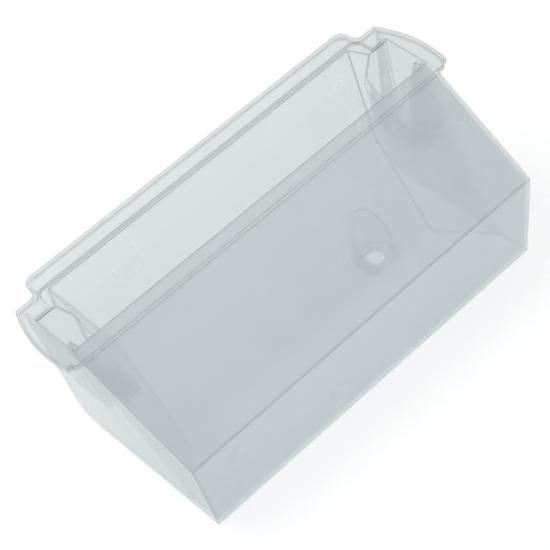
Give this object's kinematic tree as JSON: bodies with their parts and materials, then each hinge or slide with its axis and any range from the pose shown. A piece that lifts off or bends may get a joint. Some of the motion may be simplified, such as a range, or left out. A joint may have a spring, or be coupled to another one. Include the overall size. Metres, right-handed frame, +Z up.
{
  "type": "refrigerator water tank",
  "caption": "Clear open-topped water tank with a sloping front, a leaning back wall, a winged hanging rim and a round outlet in its floor.",
  "frame": {"origin": "middle of the tank's box, on the surface that it stands on", "axes": "+X along the tank to its right end, +Y to its back, where the rim hangs in the door, +Z up"},
  "size_m": [0.4246, 0.2, 0.142],
  "materials": {
    "clear_plastic": "clear moulded plastic with a pale blue-grey tint, polished"
  },
  "bodies": {
    "root": {"tank": "clear_plastic"}
  },
  "joints": []
}
